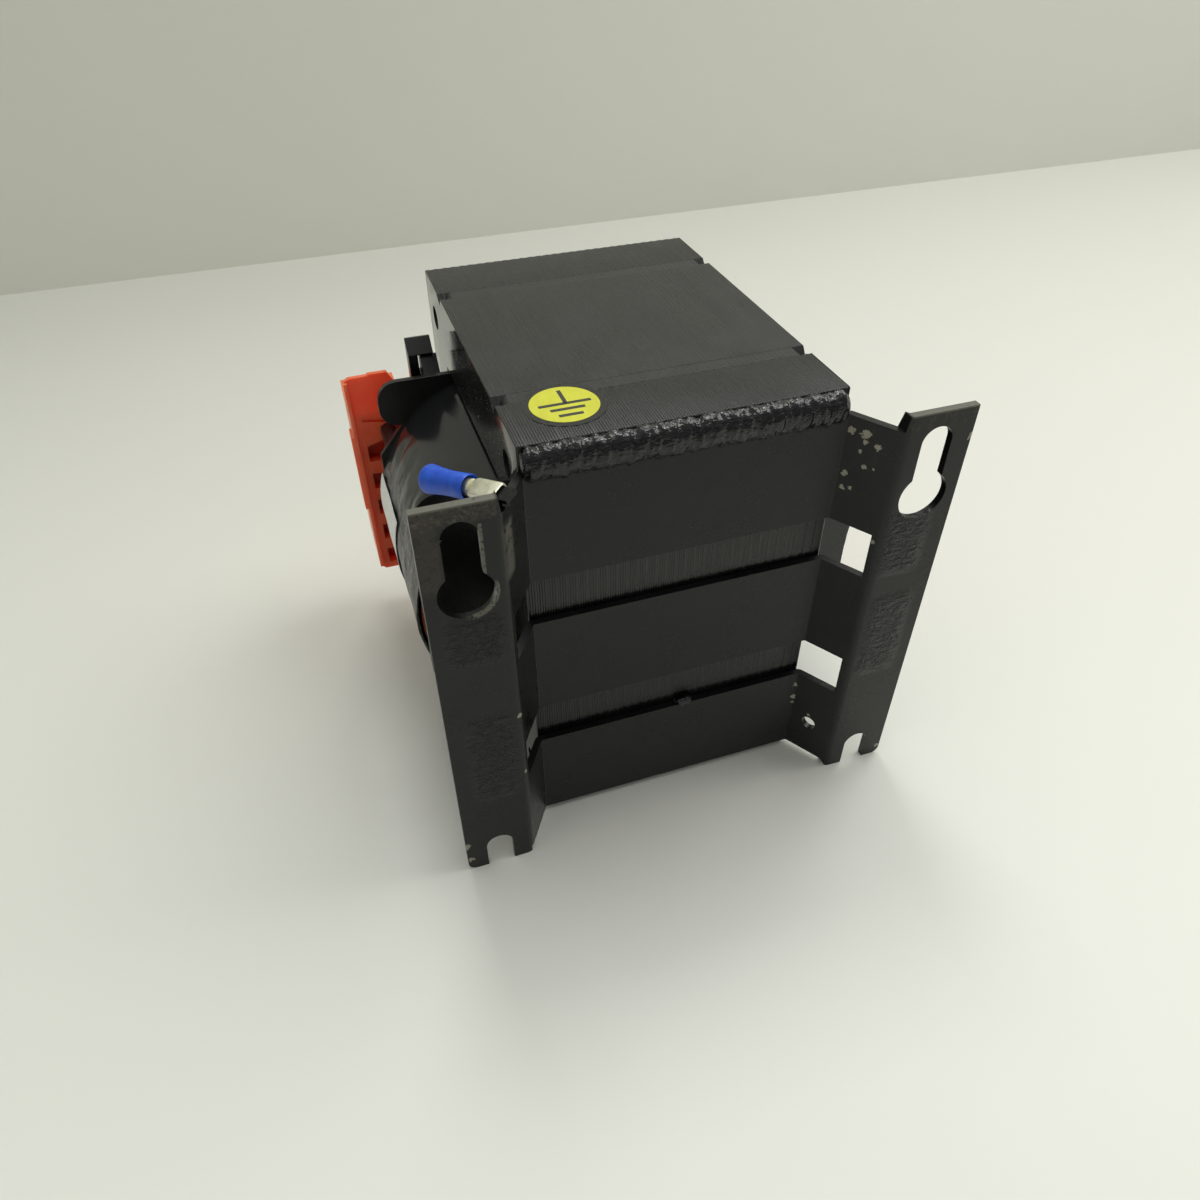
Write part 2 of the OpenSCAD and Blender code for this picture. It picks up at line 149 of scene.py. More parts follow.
# glossy black over metal; dressing adds each piece's own marks, with painted shade on the core and painted highlights
# on the weld
def blackLacquer(name, colour, gloss, shine, dressing):
    f = Finish(name)
    fine, broad, speck = f.noise(0.4, 2.0), f.noise(9.0, 3.0), f.noise(1.5, 4.0, 0.65)
    base = f.mix(broad.step(0.3, 0.75), tint(*colour), tint(*(c + 7 for c in colour)))
    rough = gloss + (broad - 0.5) * 0.22 + (speck - 0.5) * 0.14
    height = speck * 0.035 + fine * 0.006
    base, rough, height = dressing(f, base, rough, height)
    return f.shade(height, Base_Color=base, Roughness=rough, Specular_IOR_Level=shine)


bareMarks = {
    "grey": (98, 97, 87), "pale": (150, 147, 130), "brown": (58, 53, 44),
    "spots": [  # where the lacquer is chipped off, and how far
        ((31.1, 8.5, 40.4), 1.5), ((32.6, 6.1, 40.6), 1.9), ((32.7, 5.9, 39.2), 1.0), ((34.0, 3.8, 38.9), 1.4),
        ((32.4, 6.5, 37.0), 0.9),
        ((31.2, 8.3, 31.4), 1.2), ((33.0, 5.4, 34.1), 1.1), ((34.0, 3.8, 34.3), 0.6), ((31.2, 8.3, 28.2), 1.1),
        ((32.0, 7.0, 28.7), 0.8),
        ((35.6, 1.2, 19.0), 1.0), ((32.9, 5.7, -34.4), 0.9), ((30.3, 9.6, -27.0), 1.2),
        ((30.3, 9.6, -31.0), 1.3), ((30.4, 9.6, -33.0), 1.0),
        ((50.9, 0.0, 40.3), 1.7), ((50.0, 0.0, -45.5), 1.2), ((-50.5, 0.0, -39.8), 1.8),
        ((-50.0, 0.0, -44.5), 1.4), ((-36.6, 0.6, -3.6), 1.2),
        ((-36.4, 0.7, -20.4), 0.9), ((-35.0, 2.2, 10.5), 0.9)],
    "wrinkles": [((-47.5, -1, 13), (-38, 2, 23)), ((-46.5, -1, -25), (-38.5, 2, -2)),
    ((38, -1, 11), (46, 2, 25)), ((39, -1, -17), (47, 2, 4))],
}


def bracketDressing(f, base, rough, height):
    marks, rag, speck, crumb = bareMarks, f.noise(1.5, 4.0, 0.7), f.noise(0.7, 3.0, 0.6), f.noise(0.9, 4.0, 0.75)
    folds = f.noise(1.7, 3.0, 0.6, (0.5, 1.0, 1.5))
    chipped = 0.0
    for spot, size in marks["spots"]:
        chipped = (f.near(spot, size * 0.1, size * 1.1) + (crumb - 0.5) * 2.4).step(0.62, 0.74).high(chipped)
    streak = f.within((-36.3, 0.2, 29.5), (-34.0, 3.6, 40.5), 0.8) * (rag + speck * 0.3).step(0.5, 0.62)
    leftFoot, feet = f.x.step(-36.8, -37.6), abs(f.x).step(36.6, 37.4)
    band = leftFoot * (f.z + (rag - 0.5) * 3.0).step(42.6, 44.0) * speck.step(0.3, 0.6)
    sidePart = leftFoot * f.x.step(-46.2, -47.4) * f.z.step(29.0, 32.0) * (rag + 0.1).step(0.4, 0.62)
    rim = feet * f.z.step(46.1, 46.45) * (rag + 0.12).step(0.42, 0.56)
    smudge = feet * f.z.step(40.5, 45.5) * rag.step(0.5, 0.66) * 0.6
    # rubbed rims of the left keyhole: down the side of its slot and round the foot of its entry
    slotRim = f.within((-40.35, -0.4, 31.5), (-39.75, 0.5, 42.5), 0.15) * speck.step(0.35, 0.5)
    gap = f.node("ShaderNodeVectorMath", {"operation": "DISTANCE"}, [f.place, (-43.4, 0.0, 28.8)], output=1)
    entryRim = gap.step(5.75, 5.45) * f.x.step(-44.0, -42.5) * f.z.step(31.0, 29.5) * f.y.step(0.8,
        0.4) * speck.step(0.4, 0.5)
    wrinkled = 0.0
    for low, high in marks["wrinkles"]:
        wrinkled = f.within(low, high, 1.6).high(wrinkled)
    wrinkled = wrinkled * rag.step(0.36, 0.5)
    base = f.mix(wrinkled * folds.step(0.5, 0.56), base, tint(3, 3, 3))
    base = f.mix(smudge.high(sidePart * 0.65), base, tint(*marks["brown"]))
    base = f.mix(band * 0.85, base, f.mix(crumb.step(0.5, 0.68), tint(*marks["brown"]), tint(*marks["grey"])))
    base = f.mix(rim.high(slotRim).high(entryRim).high(streak * 0.8), base, tint(*marks["grey"]))
    base = f.mix(chipped, base, tint(*marks["pale"]))
    bare = chipped.high(streak).high(rim).high(band * 0.5)
    return base, rough + bare * 0.1, height + wrinkled * folds * 0.7 - bare * 0.05


# painted shade: the core's front is darkened just above each strap's top edge, where the strap's contact shadow
# falls; the sides are speckled with dust
def coreDressing(f, base, rough, height):
    rag, speck = f.noise(2.2, 4.0, 0.7), f.noise(0.8, 4.0, 0.7)
    front = f.y.step(11.6, 11.3) * abs(f.x).step(31.0, 30.6)
    over = (f.z + (rag - 0.5) * 0.5)
    jointShade = front * (over.step(12.7, 12.1) * over.step(9.4, 9.8)).high(over.step(-20.7,
        -21.3) * over.step(-24.0, -23.6))
    lines = (f.x * (2 * math.pi / 0.5) + (rag - 0.5) * 0.5).wave().step(0.1, 1.0) * abs(f.x).step(30.9, 30.7)
    sides = abs(f.x).step(30.75, 30.9)
    dusty = sides * speck.step(0.62, 0.72)
    dust = f.z.step(47.2, 47.6) * speck.step(0.68, 0.78) * rag.step(0.5, 0.65)
    base = f.mix(lines * 0.55, base, tint(8, 8, 8))
    base = f.mix((dusty * 0.6).high(dust * 0.35), base, tint(120, 119, 110))
    # painted shade: near black just above the straps' top edges
    base = f.mix(jointShade, base, tint(5, 5, 5))
    return base, rough - jointShade * 0.12 - sides * 0.24 + dusty * 0.3, height * (1.0 - sides * 0.6) - lines * 0.012


# painted highlight: a broken pale line along the bead's upper rim stands in for a lamp's reflection
def weldDressing(f, base, rough, height):
    lumpy, glint = f.noise(1.6, 3.0, 0.6, (0.6, 1, 1)), f.noise(0.9, 4.0, 0.7, (0.5, 1, 1)).step(0.6,
        0.68) * f.z.step(46.9, 47.5)
    return f.mix(glint * 0.7, base, tint(170, 169, 158)), rough, height + lumpy * 0.5


print("material tools ready")


def plastic(name, colour, edge, rough, grain=0.05):
    f = Finish(name)
    cloud, fine = f.noise(7.0, 3.0), f.noise(0.5, 3.0)
    base = f.mix(cloud.step(0.3, 0.75), tint(*colour), tint(*edge))
    return f.shade(fine * grain + cloud * grain, Base_Color=base, Roughness=rough + (cloud - 0.5) * 0.15)


# moulded orange, with a painted highlight pale along the outer rim and painted shade, deep red, inside the pockets
def orangePlastic():
    f = Finish("housingPlastic")
    cloud, fine = f.noise(6.0, 3.0), f.noise(0.6, 3.0)
    base = f.mix(cloud.step(0.3, 0.75), tint(236, 96, 58), tint(240, 108, 70))
    # painted highlight: the outer rim is paler, where light catches it
    rim = abs(f.x).step(52.6, 53.6)
    base = f.mix(rim * 0.35, base, tint(246, 140, 100))
    # painted shade: deep dark red inside the pockets
    pocketShade = f.y.step(85.6, 88.2) * abs(f.x).step(52.4, 51.6) * f.y.step(89.2, 88.6)
    base = f.mix(pocketShade * 0.8, base, tint(200, 34, 18))
    return f.shade(fine * 0.02 + cloud * 0.05, Base_Color=base, Roughness=0.36 + (cloud - 0.5) * 0.2,
        Subsurface_Weight=0.9, Subsurface_Radius=(1.0, 0.3, 0.15), Subsurface_Scale=0.004)


# enamelled wire in neat layers: ridges run round the coil, one every wire across it, with painted shade in the
# grooves and painted highlights on the crests
def copperWire():
    f = Finish("copperWire")
    ridge = (f.y * (2 * math.pi / 0.8)).wave() * 0.5 + 0.5
    cloud = f.noise(5.0, 3.0)
    base = f.mix(ridge, tint(120, 52, 24), tint(206, 112, 62))
    base = f.mix(cloud * 0.4, base, tint(150, 70, 34))
    return f.shade(ridge * 0.25, Base_Color=base, Metallic=0.75, Roughness=0.3 + cloud * 0.15)


def paper(name, colour, shade, fibre):
    f = Finish(name)
    fine, cloud = f.noise(fibre, 4.0, 0.6, (1, 0.35, 1)), f.noise(6.0, 3.0)
    base = f.mix(fine.step(0.35, 0.7), tint(*colour), tint(*shade))
    return f.shade(fine * 0.03 + cloud * 0.03, Base_Color=base, Roughness=0.5 + (cloud - 0.5) * 0.2)


# shiny black tape: smooth on top, small creases down the side with pale painted highlights on them
def tapeFilm():
    f = Finish("tapeFilm")
    crease, cloud, fine = f.noise(1.9, 4.0, 0.6, (1, 0.7, 1)), f.noise(9.0, 2.0), f.noise(0.7, 3.0)
    side = f.z.step(16.0, 9.0)
    base = f.mix(cloud.step(0.3, 0.7), tint(26, 27, 28), tint(34, 35, 36))
    # painted highlight: the crease ridges down the side are paler
    base = f.mix(side * crease.step(0.5, 0.66) * 0.7, base, tint(112, 114, 112))
    return f.shade(crease * (side * 0.45 + 0.02) + fine * 0.008, Base_Color=base,
        Roughness=0.14 + side * 0.22 + (cloud - 0.5) * 0.1)


def tinnedMetal():
    f = Finish("tinnedMetal")
    cloud, fine = f.noise(1.8, 3.0), f.noise(0.25, 3.0)
    base = f.mix(cloud.step(0.3, 0.7), tint(226, 225, 203), tint(200, 198, 176))
    return f.shade(cloud * 0.05 + fine * 0.01, Base_Color=base, Metallic=0.85, Roughness=0.34 + (cloud - 0.5) * 0.2)


def blueVinyl():
    f = Finish("blueVinyl")
    cloud, fine = f.noise(2.2, 3.0), f.noise(0.4, 3.0)
    base = f.mix(cloud.step(0.3, 0.75), tint(8, 72, 190), tint(16, 88, 208))
    return f.shade(cloud * 0.12 + fine * 0.02, Base_Color=base, Roughness=0.38 + (cloud - 0.5) * 0.2,
        Subsurface_Weight=0.08, Subsurface_Radius=(0.2, 0.35, 1.0), Subsurface_Scale=0.001)


finishes = {
    "core": blackLacquer("coreLacquer", (28, 29, 27), 0.34, 0.5, coreDressing),
    "bracket": blackLacquer("bracketLacquer", (13, 13, 13), 0.3, 0.32, bracketDressing),
    "weld": blackLacquer("weldLacquer", (4, 5, 7), 0.1, 0.5, weldDressing),
    "bobbin": plastic("bobbinPlastic", (9, 9, 9), (14, 14, 14), 0.3),
    "sleeving": plastic("leadSleeving", (12, 12, 12), (20, 20, 20), 0.42),
    "copper": copperWire(),
    "insulation": paper("insulationPaper", (214, 198, 158), (196, 178, 138), 0.9),
    "tape": tapeFilm(),
    "label": paper("labelPaper", (232, 232, 226), (218, 219, 214), 0.7),
    "housing": orangePlastic(),
    "metal": tinnedMetal(),
    "blue": blueVinyl(),
    "film": plastic("clearFilm", (26, 26, 24), (32, 32, 30), 0.24),
    "yellow": paper("yellowSticker", (205, 205, 45), (196, 198, 40), 1.4),
    "ink": plastic("stickerInk", (34, 34, 22), (44, 44, 30), 0.5),
}
print("finishes made,", len(finishes))


# quads between the neighbours of a rows by columns grid of points, closed round on either side if asked
def gridFaces(rows, columns, roundRows=False, roundColumns=True):
    row = np.arange(rows if roundRows else rows - 1)[:, None]
    column = np.arange(columns if roundColumns else columns - 1)[None, :]
    nextRow, nextColumn = (row + 1) % rows, (column + 1) % columns
    corners = [row * columns + column, nextRow * columns + column, nextRow * columns + nextColumn,
        row * columns + nextColumn]
    return np.stack(np.broadcast_arrays(*corners), -1).reshape(-1, 4)


# several closed shapes as one: each is (points in millimetres, list of faces)
def joined(shapes):
    points, faces, start = [], [], 0
    for some, theirs in shapes:
        points.append(some)
        faces += [[start + i for i in face] for face in theirs]
        start += len(some)
    return np.concatenate(points), faces


def newPiece(name, shape, finish, replaced=(), sharp=35.0):
    points, faces = shape
    mesh = bpy.data.meshes.new(name)
    mesh.from_pydata((np.asarray(points) * mm).tolist(), [], [list(map(int, face)) for face in faces])
    lump = bmesh.new()
    lump.from_mesh(mesh)
    bmesh.ops.recalc_face_normals(lump, faces=lump.faces)
    if lump.calc_volume(signed=True) < 0:
        bmesh.ops.reverse_faces(lump, faces=lump.faces)
    lump.to_mesh(mesh)
    lump.free()
    mesh.polygons.foreach_set("use_smooth", np.ones(len(mesh.polygons), bool))
    mesh.set_sharp_from_angle(angle=math.radians(sharp))
    piece = bpy.data.objects.new(name, mesh)
    scene.collection.objects.link(piece)
    mesh.materials.append(finishes[finish])
    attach(piece, "root")
    if replaced:
        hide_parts(*replaced)
    return piece


# a CAD solid's own shape with merged corners and whole flat sides, so that its edges can be rounded
def roundedCopy(name, node, finish, width, segments=2, angle=28.0):
    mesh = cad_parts[node].data.copy()
    mesh.name = name
    lump = bmesh.new()
    lump.from_mesh(mesh)
    bmesh.ops.remove_doubles(lump, verts=lump.verts, dist=2e-6)
    bmesh.ops.dissolve_limit(lump, angle_limit=math.radians(1.0), verts=lump.verts, edges=lump.edges)
    lump.to_mesh(mesh)
    lump.free()
    mesh.materials.clear()
    mesh.materials.append(finishes[finish])
    mesh.polygons.foreach_set("use_smooth", np.ones(len(mesh.polygons), bool))
    mesh.set_sharp_from_angle(angle=math.radians(40))
    piece = bpy.data.objects.new(name, mesh)
    scene.collection.objects.link(piece)
    bevel = piece.modifiers.new("edges", "BEVEL")
    bevel.width, bevel.segments, bevel.limit_method, bevel.angle_limit = width * mm, segments, "ANGLE", math.radians(angle)
    bevel.use_clamp_overlap = True
    bevel.harden_normals = True
    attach(piece, "root")
    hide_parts(node)
    return piece


# rings of points carried along a path, flat lids at both ends
def loft(rings):
    count, around = rings.shape[:2]
    faces = gridFaces(count, around).tolist()
    faces += [list(range(around)), list(range((count - 1) * around, count * around))]
    return rings.reshape(-1, 3), faces


core = {"halfStack": 31.0, "near": 11.0, "far": 91.0, "top": 48.0, "unit": 16.0, "sheet": 0.5, "hole": 5.2, "holeSteps": 28,
    "gap": 0.07, "pair": 0.06, "scatter": 0.03, "fineZone": 0.5, "edge": 0.25, "grooveHalf": 1.7,
    "grooveDepth": 2.0, "seed": 3}


# depth under the face at stations along the stack: a narrow dip at each joint, every other pair of sheets
# lower, all a little uneven
def sheetStations():
    count = int(round(2 * core["halfStack"] / core["sheet"]))
    own = np.random.default_rng(core["seed"]).uniform(0, core["scatter"],
        count) + core["pair"] * (np.arange(count) // 2 % 2)
    start = np.arange(count) * core["sheet"] - core["halfStack"]
    x = (start[:, None] + np.array([0.0, 0.09, 0.41]) * core["sheet"] / 0.5).ravel()
    depth = (own[:, None] + np.array([core["gap"], 0.0, 0.0])).ravel()
    ends = np.array([0.0, 0.05, 0.14, 0.3])
    inset = core["edge"] * np.array([1.0, 0.45, 0.12, 0.0]) + 0.02
    keep = (x > ends[-1] - core["halfStack"]) & (x < core["halfStack"] - ends[-1])
    x = np.concatenate([ends - core["halfStack"], x[keep], (core["halfStack"] - ends)[::-1]])
    return x, np.concatenate([inset, depth[keep], inset[::-1]])


# an outline in Y and Z swept along the stack and pushed in by the stations' depth, with through holes in its lids
def laminated(outline, weight, holes):
    outline, weight = np.array(outline, float), np.array(weight, float)
    before, after = outline - np.roll(outline, 1, 0), np.roll(outline, -1, 0) - outline
    before, after = (e / np.linalg.norm(e, axis=1)[:, None] for e in (before, after))
    normal = np.stack([before[:, 1] + after[:, 1], -before[:, 0] - after[:, 0]], 1)
    normal /= np.maximum((1 + (before * after).sum(1))[:, None], 0.4)
    steps = core["holeSteps"]
    x, depth = sheetStations()
    flat = outline[None] - normal[None] * (depth[:, None] * weight[None])[..., None]
    rings = np.concatenate([np.broadcast_to(x[:, None, None], (*flat.shape[:2], 1)), flat], 2)
    points, faces = rings.reshape(-1, 3), gridFaces(*flat.shape[:2]).tolist()
    around = len(outline)
    turn = np.linspace(0, 2 * np.pi, steps, endpoint=False)
    parts, total = [points], len(points)
    for side, first in ((0, 0), (-1, len(points) - around)):
        loops, numbers = [rings[side]], list(range(first, first + around))
        for y, z in holes:
            loop = np.stack([np.full(steps, x[side]), y + core["hole"] / 2 * np.cos(turn),
                z + core["hole"] / 2 * np.sin(turn)], 1)
            loops.append(loop)
            numbers += list(range(total, total + steps))
            parts.append(loop)
            total += steps
        lid = tessellate_polygon([[Vector(p) for p in loop] for loop in loops])
        faces += [[numbers[i] for i in face] for face in lid]
    for k in range(len(holes)):
        a, b = len(points) + steps * k, len(points) + steps * (k + len(holes))
        faces += [[a + i, a + (i + 1) % steps, b + (i + 1) % steps, b + i] for i in range(steps)]
    return np.concatenate(parts), faces


# a corner of the outline as a small arc
def arc(y, z, start, radius=0.45, steps=4):
    turn = np.radians(start + np.linspace(0, 90, steps + 1))
    centreY = y - radius * np.sign(math.cos(math.radians(start + 45)))
    centreZ = z - radius * np.sign(math.sin(math.radians(start + 45)))
    return [[centreY + radius * math.cos(t), centreZ + radius * math.sin(t)] for t in turn]


def coreStacks():
    c = core
    near, far, top, u = c["near"], c["far"], c["top"], c["unit"]
    first, second = near + u, far - u
    g, d = c["grooveHalf"], c["grooveDepth"]
    lower = [[first - g, -top], [first, d - top], [first + g, -top], [second - g, -top], [second, d - top]]
    legs = [[second, -2 * u], [first, -2 * u], [first, -u], [second, -u], [second, u], [first, u],
        [first, 2 * u], [second, 2 * u]]
    upper = [[y, -z] for y, z in reversed(lower)]
    outline = arc(near, -top, 180) + lower + legs + upper + arc(near, top, 90)
    weight = [1] * 5 + [1, 1, c["fineZone"], c["fineZone"], 0] + [0] * 8 + [0, c["fineZone"], c["fineZone"], 1,
        1] + [1] * 5
    holes = [(near + u / 2, z) for z in (-top + u / 2, top - u / 2)]
    newPiece("eLaminations", laminated(outline, weight, holes), "core", ["e_lamination_stack"],
        sharp=22)
    outline = [[second, d - top], [second + g, -top]] + arc(far, -top, 270) + arc(far, top,
        0) + [[second + g, top], [second, top - d]]
    weight = [0, 1] + [1] * 10 + [1, 0]
    holes = [(far - u / 2, z) for z in (-top + u / 2, top - u / 2)]
    newPiece("iLaminations", laminated(outline, weight, holes), "core", ["i_lamination_stack"],
        sharp=22)


coreStacks()

seams = {"half": 1.66, "depth": 2.0, "end": 29.4, "ripple": 0.05, "pitch": 1.1, "seed": 5}


# a V-shaped fill whose crown is ruffled by bowed waves along the seam
def seamShape(y, side):
    s = seams
    x = np.linspace(-s["end"], s["end"], 200)
    across = np.array([-1, -0.72, -0.4, 0, 0.4, 0.72, 1.0])
    wave = np.sin(2 * np.pi * (x[:, None] - 0.9 * across[None] ** 2) / s["pitch"]) * s["ripple"]
    crown = 0.03 * (1 - across[None] ** 2) - 0.07 + (wave - s["ripple"]) * (1 - across[None] ** 4)
    taper = np.clip((s["end"] - np.abs(x)) / 1.2, 0, 1)[:, None] ** 0.5
    height = np.concatenate([crown * taper - (1 - taper) * 1.2, np.full((200, 1), -s["depth"])], 1)
    depthAcross = np.concatenate([across * s["half"], [0.0]])
    rings = np.stack([np.broadcast_to(x[:, None], height.shape), np.broadcast_to(y + depthAcross, height.shape),
        side * (core["top"] + height)], 2)
    return loft(rings)


newPiece("coreWeldSeams", joined([seamShape(y, side) for y in (27.0, 75.0) for side in (-1, 1)]), "core",
    ["core_weld_seams"], sharp=60)
print("core built")

roundedCopy("foldedBracket", "mounting_bracket", "bracket", 0.28, 3)

bead = {"start": -30.6, "end": 30.1, "pitch": 2.4, "swell": 0.08, "bow": 2.2, "lumps": 0.2, "seed": 11,
    "section": [(11.4, 47.7), (10.6, 48.0), (9.7, 47.85), (8.9, 47.3), (8.3, 46.4), (7.95, 45.3), (7.9, 44.2),
    (8.1, 43.2), (8.6, 42.4),
        (9.2, 41.8), (9.7, 41.5), (9.9, 42.6), (11.2, 43.6)]}


# a rope of weld: one section carried along X, swollen by overlapping bowed waves of uneven length, drawn in at
# its ends
def weldBead():
    b, around, along = bead, 48, 420
    chance = np.random.default_rng(b["seed"])
    corners = np.array(b["section"])
    closed = np.concatenate([corners, corners[:1]])
    run = np.concatenate([[0], np.cumsum(np.linalg.norm(np.diff(closed, axis=0), axis=1))])
    spot = np.linspace(0, run[-1], around, endpoint=False)
    section = np.stack([np.interp(spot, run, closed[:, i]) for i in (0, 1)], 1)
    section = sum(np.roll(section, k, 0) * w for k, w in ((-1, 0.25), (0, 0.5), (1, 0.25)))
    middle = np.array([10.1, 45.0])
    x, t = np.linspace(b["start"], b["end"], along), np.linspace(0, 1, around, endpoint=False)
    drift = np.interp(x, np.linspace(b["start"], b["end"], 14), chance.uniform(-1.6, 1.6, 14))[:, None]
    bowed = x[:, None] + b["bow"] * np.cos(2 * np.pi * (t[None] - 0.28)) + drift
    rope = np.abs(np.sin(np.pi * bowed / b["pitch"])) ** 0.6
    lumps = sum(chance.uniform(0.4, 1) * np.sin(2 * np.pi * (x[:, None] / w + t[None] * k) + chance.uniform(0, 6.3))
        for w, k in ((9.1, 0), (6.3, 1), (4.1, -1), (2.9, 2), (1.9, -2), (1.3, 3), (13.0, 1)))
    out = 1 + (rope * b["swell"] + lumps * b["lumps"] * 0.5 - 0.1) * 0.3
    ends = np.clip(np.minimum(x - b["start"], b["end"] - x) / 1.2, 0, 1) ** 0.5
    out = out * (0.6 + 0.4 * ends[:, None])
    flat = middle + (section[None] - middle) * out[..., None]
    flat[..., 0] = np.maximum(flat[..., 0], 7.6)
    flat[..., 1] = np.minimum(flat[..., 1], 48.1)
    return loft(np.concatenate([np.broadcast_to(x[:, None, None], (*flat.shape[:2], 1)), flat], 2))


newPiece("topEdgeWeld", weldBead(), "weld", ["bracket_weld_bead"], sharp=80)

tack = {"middle": (2.5, 10.4, -23.1), "radii": (2.1, 1.45, 1.35), "lump": 0.12, "seed": 4}


# an egg-shaped drop: half turns from pole to pole, the radius uneven by a few waves
def drop():
    lat, lon = np.linspace(0.12, np.pi - 0.12, 14), np.linspace(0, 2 * np.pi, 26, endpoint=False)
    a, b = np.meshgrid(lat, lon, indexing="ij")
    way = np.stack([np.cos(a), np.sin(a) * np.cos(b), np.sin(a) * np.sin(b)], 2)
    uneven = 1 + tack["lump"] * (np.sin(3 * b + 1) * np.sin(a) + np.sin(5 * a + b))
    return loft(np.array(tack["middle"]) + way * np.array(tack["radii"]) * uneven[..., None])


newPiece("strapTackWeld", drop(), "weld", ["bracket_tack_weld"], sharp=80)
print("bracket and welds built")

roundedCopy("coilFormer", "bobbin", "bobbin", 0.3, 3)

coil = {"near": 28.5, "far": 73.0, "crease": 0.22, "seed": 8,
    "quarter": [(50.6, 0), (50.4, 4), (49.6, 8), (48.2, 12), (46.2, 15.8), (43.5, 19.8), (40.2, 23.3),
    (36.5, 26.2), (31, 28.8), (20, 29.5), (8, 29.8)]}


# the coil's outside as an even loop of points in X and Z, corners eased, with its outward direction
def coilLoop(count=480):
    quarter = np.array(coil["quarter"], float)
    loop = np.concatenate([quarter, quarter[::-1] * [-1, 1], -quarter[1:], quarter[:0:-1] * [1, -1]])
    closed = np.concatenate([loop, loop[:1]])
    along = np.concatenate([[0], np.cumsum(np.linalg.norm(np.diff(closed, axis=0), axis=1))])
    spot = np.linspace(0, along[-1], count, endpoint=False)
    points = np.stack([np.interp(spot, along, closed[:, i]) for i in (0, 1)], 1)
    for _ in range(14):
        points = 0.5 * points + 0.25 * (np.roll(points, 1, 0) + np.roll(points, -1, 0))
    run = np.roll(points, -1, 0) - np.roll(points, 1, 0)
    normal = np.stack([run[:, 1], -run[:, 0]], 1) / np.linalg.norm(run, axis=1)[:, None]
    return points, normal, spot


# plane waves in many directions, folded at their middles, so that the surface is creased like crumpled film
def creases(along, across, seed, shortest, longest, count=22):
    chance = np.random.default_rng(seed)
    total = 0
    for _ in range(count):
        turn, width, shift = chance.uniform(0, np.pi), chance.uniform(shortest, longest), chance.uniform(0, 6.3)
        total = total + np.abs(np.sin(np.pi * (along * np.cos(turn) + across * np.sin(turn)) / width + shift)) * width
    total = total / (count * (shortest + longest) / 2)
    return total - total.mean()


def tapeWrap():
    points, normal, spot = coilLoop()
    y = np.linspace(coil["near"], coil["far"], 90)
    side = np.clip((np.abs(points[:, 0]) - 41) / 7, 0.0, 1)[None]
    fold = creases(spot[None], y[:, None], coil["seed"], 2.2, 11.0) * coil["crease"] * 5
    out = fold * (0.03 + 0.97 * side) - 0.12
    outer = np.stack([points[None, :, 0] + normal[None, :, 0] * out, np.broadcast_to(y[:, None], out.shape),
        points[None, :, 1] + normal[None, :, 1] * out], 2)
    inner = np.stack([np.stack([points[:, 0] - normal[:, 0] * 1.2, np.full(len(points), edge),
        points[:, 1] - normal[:, 1] * 1.2], 1)
        for edge in (coil["far"], coil["near"])])
    rings = np.concatenate([outer, inner])
    return rings.reshape(-1, 3), gridFaces(len(rings), len(points), roundRows=True)


newPiece("coilTape", tapeWrap(), "tape", ["outer_tape_wrap"], sharp=60)

label = {"near": 52.0, "far": 73.0, "low": -25.0, "high": 9.0, "lift": 0.32, "thick": 0.12}


# a sheet of paper laid along the coil's outside on the left, a constant height over it, with a back and rim of
# its own
def coilLabel():
    points, normal, _ = coilLoop()
    keep = (points[:, 0] < 0) & (points[:, 1] > label["low"]) & (points[:, 1] < label["high"])
    points, normal = points[keep], normal[keep]
    order = np.argsort(points[:, 1])
    points, normal = points[order], normal[order]
    y = np.linspace(label["near"], label["far"], 24)
    ripple = 0.05 * np.sin(y[:, None] / 2.3 + points[None, :, 1] / 3.1)
    layers = [np.stack([points[None, :, 0] + normal[None, :, 0] * (lift + ripple),
        np.broadcast_to(y[:, None], ripple.shape),
        points[None, :, 1] + normal[None, :, 1] * (lift + ripple)], 2) for lift in (label["lift"],
        label["lift"] - label["thick"])]
    rows, columns = layers[0].shape[:2]
    sheet = gridFaces(rows, columns, roundColumns=False)
    rim = np.concatenate([np.arange(columns), np.arange(1, rows) * columns + columns - 1,
        (rows - 1) * columns + np.arange(columns - 2, -1, -1), np.arange(rows - 2, 0, -1) * columns])
    band = np.stack([rim, np.roll(rim, -1), np.roll(rim, -1) + rows * columns, rim + rows * columns], 1)
    faces = sheet.tolist() + (sheet[:, ::-1] + rows * columns).tolist() + band.tolist()
    return np.concatenate([layer.reshape(-1, 3) for layer in layers]), faces


newPiece("coilLabel", coilLabel(), "label", ["coil_label"])
print("coil built")

for side in ("left", "right"):
    roundedCopy(side + "TerminalHousing", "terminal_housing_" + side, "housing", 0.22, 2)
    roundedCopy(side + "TerminalClamps", "terminal_clamps_" + side, "metal", 0.12, 2)
    roundedCopy(side + "LeadSleeves", "lead_sleeves_" + side, "sleeving", 0.15, 2)

screws = {"pitch": 7.8, "count": 6, "low": -23.4, "x": 47.4, "y": 95.2, "head": 2.2, "height": 2.4,
    "slot": 0.35, "slotDepth": 1.1, "shank": 1.2, "length": 1.6}


# a disc or a half disc drawn out along Y, its far rim drawn in a little
def stub(x, z, radius, near, far, cut=None, turn=0.0, steps=20):
    if cut is None:
        angle = np.linspace(0, 2 * np.pi, steps, endpoint=False)
    else:
        limit = math.acos(cut / radius)
        angle = np.linspace(-limit, limit, steps)
    rim = np.stack([np.cos(angle + turn), np.sin(angle + turn)], 1)
    rings = [np.stack([x + rim[:, 0] * r, np.full(len(rim), y), z + rim[:, 1] * r], 1)
        for y, r in ((near, radius), (far - 0.2, radius), (far, radius - 0.2))]
    return loft(np.array(rings))


